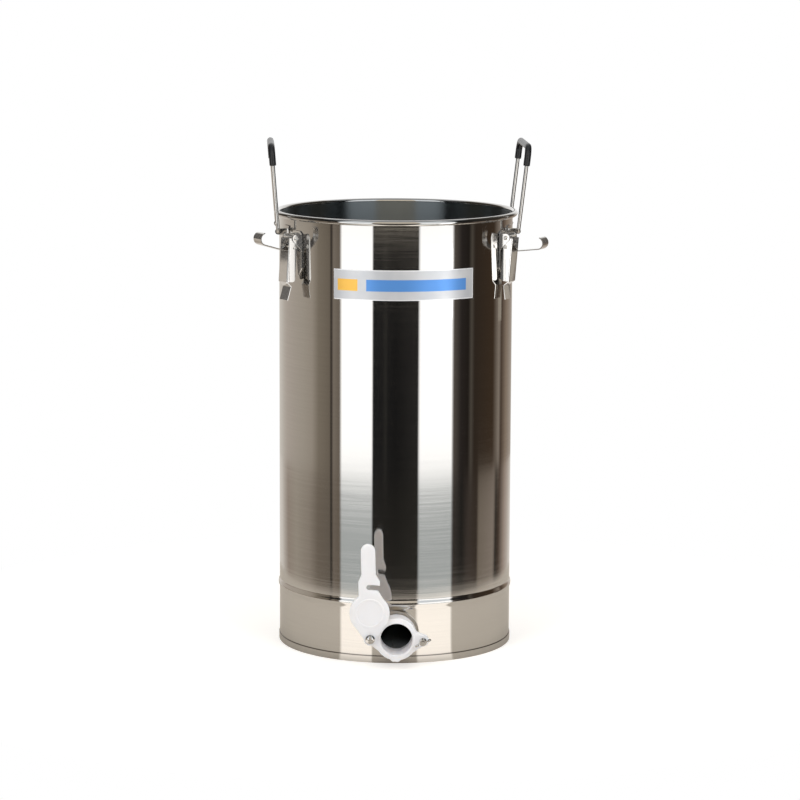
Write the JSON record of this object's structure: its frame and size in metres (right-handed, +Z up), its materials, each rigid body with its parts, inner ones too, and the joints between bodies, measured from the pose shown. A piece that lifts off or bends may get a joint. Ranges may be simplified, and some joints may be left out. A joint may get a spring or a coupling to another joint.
{
  "type": "honey settling tank",
  "caption": "Stainless steel honey settling tank with a white sliding-blade honey gate, lid latches round the rim and swing carry handles with black grips.",
  "frame": {"origin": "middle of the foot ring, on the floor", "axes": "+Z up along the tank's axis, the honey gate faces -Y"},
  "size_m": [0.3709, 0.4156, 0.6505],
  "materials": {
    "stainless_wall": "bright rolled",
    "steel_wire": "bright drawn",
    "label_film": "satin, unprinted maker area",
    "gasket_rubber": "matte",
    "gate_nylon": "moulded satin",
    "zinc_hardware": "zinc plated",
    "latch_steel": "bright pressed",
    "grip_plastic": "glossy sleeve"
  },
  "bodies": {
    "tank": {"tank_shell": "stainless_wall", "rim_wire": "steel_wire", "tank_bottom": "stainless_wall", "label_plate": "label_film", "outlet_ferrule": "stainless_wall", "gate_gasket": "gasket_rubber", "gate_body": "gate_nylon", "pivot_screw": "zinc_hardware", "pivot_nut": "zinc_hardware", "clamp_bolt": "zinc_hardware", "latch_rivets": "latch_steel", "latch_base_left": "latch_steel", "latch_base_right": "latch_steel", "latch_base_back": "latch_steel", "handle_ears_left": "steel_wire", "handle_ears_right": "steel_wire"},
    "blade": {"gate_blade": "gate_nylon"},
    "clamp_nut": {"wing_nut": "zinc_hardware"},
    "lever_left": {"latch_lever_left": "latch_steel", "hook_pin_left": "latch_steel"},
    "hook_left": {"latch_hook_left": "latch_steel"},
    "lever_right": {"latch_lever_right": "latch_steel", "hook_pin_right": "latch_steel"},
    "hook_right": {"latch_hook_right": "latch_steel"},
    "lever_back": {"latch_lever_back": "latch_steel", "hook_pin_back": "latch_steel"},
    "hook_back": {"latch_hook_back": "latch_steel"},
    "bail_left": {"handle_bail_left": "steel_wire", "handle_grip_left": "grip_plastic"},
    "bail_right": {"handle_bail_right": "steel_wire", "handle_grip_right": "grip_plastic"}
  },
  "joints": [
    {"name": "lever_left_hinge", "type": "hinge", "parent": "tank", "child": "lever_left", "pos_m": [-0.13324, -0.08786, 0.5334], "axis": [0.5505, -0.8348, 0], "range_deg": [-110, 0]},
    {"name": "hook_left_hinge", "type": "hinge", "parent": "lever_left", "child": "hook_left", "pos_m": [-0.13413, -0.08844, 0.52175], "axis": [-0.5505, 0.8348, 0], "range_deg": [0, 74]},
    {"name": "lever_right_hinge", "type": "hinge", "parent": "tank", "child": "lever_right", "pos_m": [0.14271, -0.07146, 0.5334], "axis": [0.4478, 0.8942, 0], "range_deg": [-110, 0]},
    {"name": "hook_right_hinge", "type": "hinge", "parent": "lever_right", "child": "hook_right", "pos_m": [0.14202, -0.07112, 0.52172], "axis": [-0.4478, -0.8942, 0], "range_deg": [0, 74]},
    {"name": "lever_back_hinge", "type": "hinge", "parent": "tank", "child": "lever_back", "pos_m": [-0.00946, 0.15932, 0.5334], "axis": [-0.9982, -0.0593, 0], "range_deg": [-110, 0]},
    {"name": "hook_back_hinge", "type": "hinge", "parent": "lever_back", "child": "hook_back", "pos_m": [-0.00942, 0.15855, 0.52172], "axis": [0.9982, 0.0593, 0], "range_deg": [0, 74]},
    {"name": "bail_left_hinge", "type": "hinge", "parent": "tank", "child": "bail_left", "pos_m": [-0.15219, -0.00585, 0.5386], "axis": [0.0384, -0.9993, 0], "range_deg": [-16, 172]},
    {"name": "bail_right_hinge", "type": "hinge", "parent": "tank", "child": "bail_right", "pos_m": [0.15219, 0.00585, 0.5386], "axis": [-0.0384, 0.9993, 0], "range_deg": [-19, 170]},
    {"name": "blade_pivot", "type": "hinge", "parent": "tank", "child": "blade", "pos_m": [-0.03297, -0.1936, 0.04144], "axis": [0, 1, 0], "range_deg": [-60, 94]},
    {"name": "clamp_nut_turn", "type": "hinge", "parent": "tank", "child": "clamp_nut", "pos_m": [0.03297, -0.1996, 0.03856], "axis": [0, -1, 0], "continuous": true}
  ]
}
